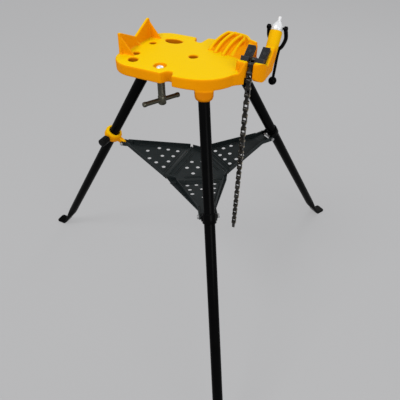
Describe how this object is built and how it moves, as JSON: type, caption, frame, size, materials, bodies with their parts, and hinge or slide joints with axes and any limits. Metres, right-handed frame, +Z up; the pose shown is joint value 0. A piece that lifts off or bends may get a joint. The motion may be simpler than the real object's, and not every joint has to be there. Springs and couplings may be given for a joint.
{
  "type": "tripod chain vise",
  "caption": "Folding tripod stand with a cast table, pipe rest, pipe bender, ceiling-brace screw, perforated tray and a chain vise tightened by a folding handle.",
  "frame": {"origin": "on the floor, in the middle of the footprint's bounding box", "axes": "+X along the pipe axis to the vise end, +Z up, -Y is the near side, where the chain hangs"},
  "size_m": [1.0665, 1.1918, 0.9491],
  "materials": {
    "cast_yellow": "gloss paint on cast iron",
    "leg_black": "semi-gloss black paint on steel",
    "knob_black": "satin",
    "tray_grey": "satin paint on sheet steel",
    "chain_black": "black oiled",
    "hardened_black": "black oxide",
    "zinc": "zinc plated",
    "dark_steel": "dark oiled"
  },
  "bodies": {
    "root": {"table_casting": "cast_yellow", "inner_near_jaw": "hardened_black", "inner_far_jaw": "hardened_black", "outer_near_jaw": "hardened_black", "outer_far_jaw": "hardened_black", "inner_near_jaw_screw": "zinc", "inner_far_jaw_screw": "zinc", "outer_near_jaw_screw": "zinc", "outer_far_jaw_screw": "zinc", "thrust_washer": "zinc", "near_leg": "leg_black", "far_leg": "leg_black", "near_leg_pin": "leg_black", "far_leg_pin": "leg_black", "rear_leg_pin": "zinc", "tray_centre": "tray_grey", "near_leaf": "tray_grey", "far_leaf": "tray_grey", "near_tray_hinge_pin": "dark_steel", "far_tray_hinge_pin": "dark_steel", "rear_tray_hinge_pin": "dark_steel", "near_leg_clamp": "leg_black", "far_leg_clamp": "leg_black", "near_clamp_bolt": "zinc", "far_clamp_bolt": "zinc"},
    "rear_leg": {"rear_leg": "leg_black"},
    "rear_leaf": {"rear_leaf": "tray_grey"},
    "rear_collar": {"rear_collar": "cast_yellow", "lock_knob": "knob_black", "rear_link_bolt": "zinc"},
    "chain_screw": {"chain_screw": "zinc", "chain_anchor_pin": "zinc"},
    "chain_nut": {"chain_nut": "zinc", "inner_handle_pin": "leg_black", "outer_handle_pin": "leg_black"},
    "handle": {"handle": "leg_black"},
    "chain_start": {"chain_start": "chain_black"},
    "chain_run_1": {"chain_run_1": "chain_black"},
    "chain_run_2": {"chain_run_2": "chain_black"},
    "chain_run_3": {"chain_run_3": "chain_black"},
    "chain_run_4": {"chain_run_4": "chain_black"},
    "chain_run_5": {"chain_run_5": "chain_black"},
    "chain_run_6": {"chain_run_6": "chain_black"},
    "chain_run_7": {"chain_run_7": "chain_black"},
    "brace_cap": {"brace_cap": "zinc"},
    "brace_screw": {"brace_screw": "dark_steel"},
    "brace_bar": {"brace_bar": "dark_steel"}
  },
  "joints": [
    {"name": "rear_leg_fold", "type": "hinge", "parent": "root", "child": "rear_leg", "pos_m": [0.02312, 0, 0.826], "axis": [0, -1, 0], "range_deg": [0, 14]},
    {"name": "rear_leaf_hinge", "type": "hinge", "parent": "root", "child": "rear_leaf", "pos_m": [0.09512, 0, 0.53], "axis": [0, -1, 0], "range_deg": [0, 38.92]},
    {"name": "rear_collar_pivot", "type": "hinge", "parent": "rear_leaf", "child": "rear_collar", "pos_m": [-0.10624, 0, 0.54], "axis": [0, -1, 0], "range_deg": [-24.92, 0]},
    {"name": "screw_draw", "type": "slide", "parent": "root", "child": "chain_screw", "axis": [0, 0.5299, 0.848], "range_m": [-0.00013, 0.00158]},
    {"name": "nut_turn", "type": "hinge", "parent": "root", "child": "chain_nut", "pos_m": [0.316, 0.0735, 0.921], "axis": [0, -0.5299, -0.848], "range_deg": [-15, 190]},
    {"name": "handle_swing", "type": "hinge", "parent": "chain_nut", "child": "handle", "pos_m": [0.316, 0.07753, 0.92744], "axis": [1, 0, 0], "range_deg": [0, 120]},
    {"name": "anchor_swing", "type": "hinge", "parent": "chain_screw", "child": "chain_start", "pos_m": [0.295, 0.01411, 0.83473], "axis": [-1, 0, 0], "range_deg": [0, 3]},
    {"name": "chain_lift", "type": "hinge", "parent": "chain_start", "child": "chain_run_1", "pos_m": [0.295, -0.00316, 0.87944], "axis": [-1, 0, 0], "range_deg": [0, 10]},
    {"name": "chain_bend_2", "type": "hinge", "parent": "chain_run_1", "child": "chain_run_2", "pos_m": [0.295, -0.02763, 0.78815], "axis": [-1, 0, 0], "range_deg": [-5, 5]},
    {"name": "chain_bend_3", "type": "hinge", "parent": "chain_run_2", "child": "chain_run_3", "pos_m": [0.295, -0.02819, 0.71815], "axis": [-1, 0, 0], "range_deg": [-5, 5]},
    {"name": "chain_bend_4", "type": "hinge", "parent": "chain_run_3", "child": "chain_run_4", "pos_m": [0.295, -0.02819, 0.64815], "axis": [-1, 0, 0], "range_deg": [-5, 5]},
    {"name": "chain_bend_5", "type": "hinge", "parent": "chain_run_4", "child": "chain_run_5", "pos_m": [0.295, -0.02819, 0.57815], "axis": [-1, 0, 0], "range_deg": [-5, 5]},
    {"name": "chain_bend_6", "type": "hinge", "parent": "chain_run_5", "child": "chain_run_6", "pos_m": [0.295, -0.02819, 0.50815], "axis": [-1, 0, 0], "range_deg": [-5, 5]},
    {"name": "chain_bend_7", "type": "hinge", "parent": "chain_run_6", "child": "chain_run_7", "pos_m": [0.295, -0.02819, 0.43815], "axis": [-1, 0, 0], "range_deg": [-5, 5]},
    {"name": "brace_lift", "type": "slide", "parent": "root", "child": "brace_cap", "axis": [0, 0, 1], "range_m": [-0.007, 0.0175]},
    {"name": "brace_turn", "type": "hinge", "parent": "brace_cap", "child": "brace_screw", "pos_m": [0.099, -0.082, 0.78], "axis": [0, 0, 1], "range_deg": [-720, 1800]},
    {"name": "bar_slide", "type": "slide", "parent": "brace_screw", "child": "brace_bar", "axis": [0.5, 0.866, 0], "range_m": [-0.03, 0.03]}
  ],
  "couplings": [
    {"joint": "rear_leaf_hinge", "follows": "rear_leg_fold", "ratio": 2.78},
    {"joint": "rear_collar_pivot", "follows": "rear_leg_fold", "ratio": -1.78},
    {"joint": "nut_turn", "follows": "screw_draw", "rad_per_m": 2094.4},
    {"joint": "brace_turn", "follows": "brace_lift", "rad_per_m": 1795.2}
  ]
}
